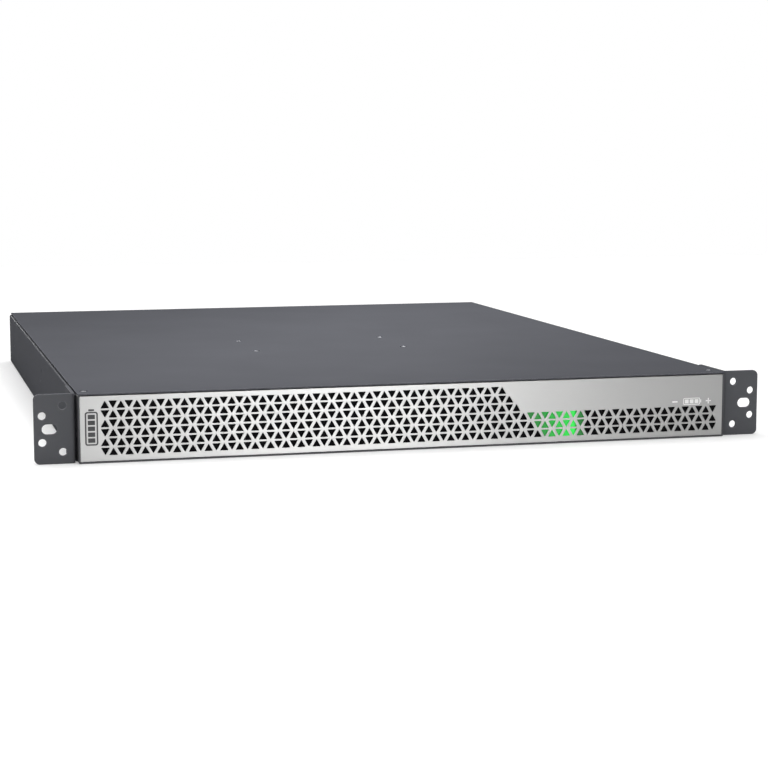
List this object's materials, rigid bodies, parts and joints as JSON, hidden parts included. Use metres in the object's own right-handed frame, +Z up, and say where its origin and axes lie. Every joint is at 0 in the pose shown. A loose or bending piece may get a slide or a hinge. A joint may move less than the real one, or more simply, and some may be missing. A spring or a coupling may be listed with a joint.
{
  "type": "server rack battery",
  "caption": "Flat rack-mount lithium battery with a perforated metal bezel, green status light, rack ears, and rear power, data and cooling fittings.",
  "frame": {"origin": "centre of the whole object's footprint, on the plane of the chassis underside", "axes": "+X to the right seen from the front, +Y from the bezel to the rear panel, +Z up"},
  "size_m": [0.4826, 0.569, 0.0436],
  "materials": {
    "chassis_paint": "fine textured powder coat, semi-matt",
    "ear_paint": "fine textured powder coat, semi-matt",
    "faceplate_steel": "satin, lightly brushed along its length",
    "zinc_steel": "bright zinc plate",
    "bezel_plastic": "moulded, fine grain",
    "filter_foam": "open black foam",
    "light_pipe": "translucent, lit green",
    "board_laminate": "solder-masked laminate",
    "cell_case": "blue film on an aluminium can",
    "insulating_film": "clear amber film",
    "copper": "bright copper",
    "aluminium": "plain, satin",
    "cable_red": "smooth jacket",
    "cable_black": "smooth jacket",
    "fan_plastic": "moulded",
    "fitting_plastic": "moulded",
    "connector_plastic": "moulded"
  },
  "bodies": {
    "chassis": {"chassis_tray": "chassis_paint", "top_cover": "chassis_paint", "rear_panel": "chassis_paint", "rack_ear_left": "ear_paint", "rack_ear_right": "ear_paint", "cover_screw_1": "zinc_steel", "cover_screw_2": "zinc_steel", "cover_screw_3": "zinc_steel", "cover_screw_4": "zinc_steel", "cover_screw_5": "zinc_steel", "cover_screw_6": "zinc_steel", "ear_screw_left_1": "zinc_steel", "ear_screw_left_2": "zinc_steel", "ear_screw_right_1": "zinc_steel", "ear_screw_right_2": "zinc_steel", "bezel_stud_left": "zinc_steel", "bezel_stud_right": "zinc_steel", "earth_stud": "zinc_steel", "interface_board": "zinc_steel", "status_board": "board_laminate", "bms_board": "board_laminate", "cell_1": "cell_case", "cell_2": "cell_case", "cell_3": "cell_case", "cell_4": "cell_case", "cell_5": "cell_case", "cell_6": "cell_case", "cell_7": "cell_case", "cell_8": "cell_case", "cell_9": "cell_case", "cell_10": "cell_case", "cell_11": "cell_case", "cell_12": "cell_case", "cell_13": "cell_case", "cell_14": "cell_case", "cell_15": "cell_case", "cell_16": "cell_case", "insulating_sheet": "insulating_film", "cell_link_board_front": "copper", "cell_link_board_rear": "copper", "main_fuse": "copper", "cell_hold_down": "aluminium", "bms_heat_sink": "aluminium", "cable_battery_positive": "cable_red", "cable_series_link": "cable_red", "cable_battery_negative": "cable_black", "fan_housing_1": "fan_plastic", "fan_housing_2": "fan_plastic", "breaker_case": "fitting_plastic", "dc_connector_in": "connector_plastic", "dc_connector_out": "connector_plastic"},
    "bezel": {"bezel_frame": "bezel_plastic", "bezel_faceplate": "faceplate_steel", "dust_filter": "filter_foam", "light_pipe": "light_pipe"},
    "fan_1": {"fan_rotor_1": "fan_plastic"},
    "fan_2": {"fan_rotor_2": "fan_plastic"},
    "toggle": {"breaker_toggle": "fitting_plastic"},
    "button": {"wake_button": "fitting_plastic"}
  },
  "joints": [
    {"name": "bezel_pull", "type": "slide", "parent": "chassis", "child": "bezel", "axis": [0, -1, 0], "range_m": [0, 0.05]},
    {"name": "fan_1_spin", "type": "hinge", "parent": "chassis", "child": "fan_1", "pos_m": [-0.184, 0.2636, 0.0217], "axis": [0, 1, 0], "continuous": true},
    {"name": "fan_2_spin", "type": "hinge", "parent": "chassis", "child": "fan_2", "pos_m": [-0.138, 0.2636, 0.0217], "axis": [0, 1, 0], "continuous": true},
    {"name": "breaker_toggle_tilt", "type": "hinge", "parent": "chassis", "child": "toggle", "pos_m": [-0.086, 0.2715, 0.0217], "axis": [1, 0, 0], "range_deg": [-40, 0]},
    {"name": "wake_button_press", "type": "slide", "parent": "chassis", "child": "button", "axis": [0, -1, 0], "range_m": [0, 0.0015], "stiffness_N_per_m": 800, "springref_m": -0.0005}
  ]
}
